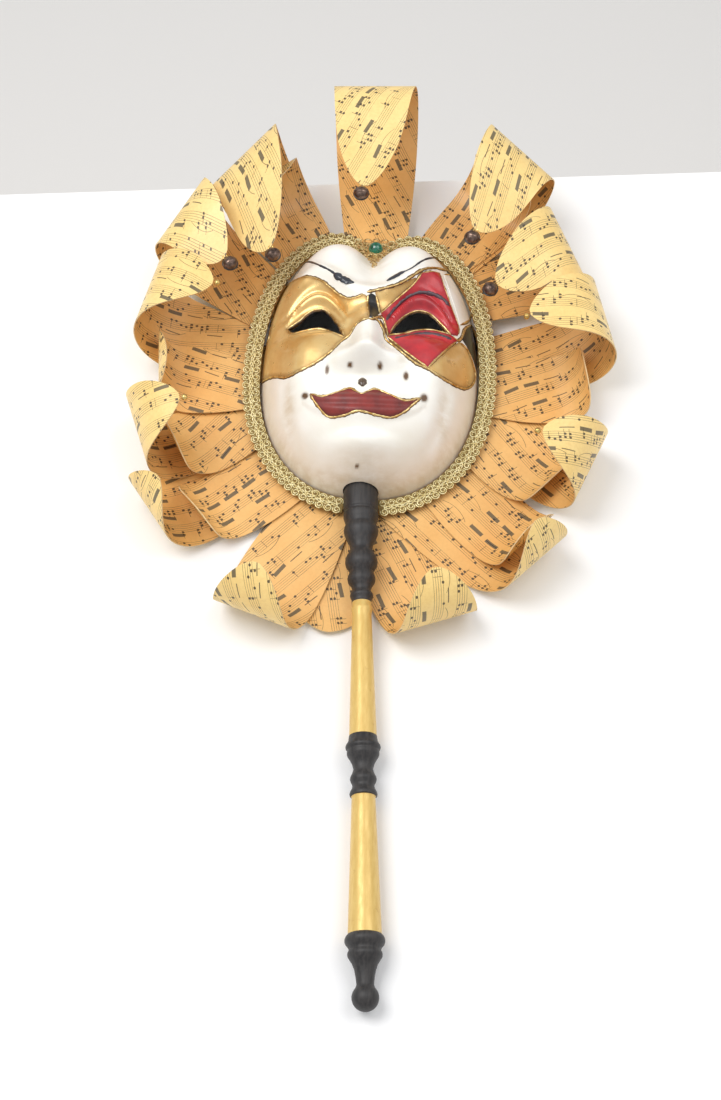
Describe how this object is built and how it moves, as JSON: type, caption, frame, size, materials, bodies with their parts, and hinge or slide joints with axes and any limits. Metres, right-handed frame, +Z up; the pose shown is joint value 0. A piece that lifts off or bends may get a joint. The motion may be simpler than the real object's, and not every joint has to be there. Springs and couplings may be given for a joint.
{
  "type": "venetian mask",
  "caption": "Painted papier-mache carnival mask on a turned wooden handle, with a collar of curled card strips, a gold braid edge, small bells and a brow ornament.",
  "frame": {"origin": "on the table under the middle of the whole object's box", "axes": "+Z up out of the face as the mask lies on its back, +Y from the handle to the forehead, +X to the right of someone who looks down from the handle's side"},
  "size_m": [0.3702, 0.742, 0.0995],
  "materials": {
    "painted_face": "papier-mache with glossy ivory paint, gold leaf and red lacquer",
    "painted_wood": "turned wood, matt black and satin gold paint",
    "gold_thread": "looped pale gold metallic gimp",
    "bronze": "aged cast bronze",
    "gilt_bead": "polished gilt",
    "green_stone": "opaque polished green glass cabochon",
    "printed_card": null
  },
  "bodies": {
    "root": {"mask_shell": "painted_face", "handle": "painted_wood", "gimp_braid": "gold_thread", "filigree_ornament": "bronze", "cabochon": "green_stone", "loop_01_top": "printed_card", "loop_02": "printed_card", "loop_03": "printed_card", "loop_04": "printed_card", "loop_05": "printed_card", "loop_06": "printed_card", "loop_07": "printed_card", "loop_08": "printed_card", "loop_09": "printed_card", "loop_10": "printed_card", "loop_11": "printed_card", "loop_12": "printed_card", "loop_13": "printed_card", "loop_14": "printed_card", "curl_01": "printed_card", "curl_02": "printed_card", "curl_03": "printed_card", "curl_04": "printed_card", "curl_05": "printed_card", "curl_06": "printed_card", "curl_07": "printed_card", "curl_08": "printed_card", "bell_1": "bronze", "bell_2": "bronze", "bell_3": "bronze", "bell_4": "bronze", "bell_5": "bronze", "tip_bead_1": "gilt_bead", "tip_bead_2": "gilt_bead", "tip_bead_3": "gilt_bead", "tip_bead_4": "gilt_bead"}
  },
  "joints": []
}
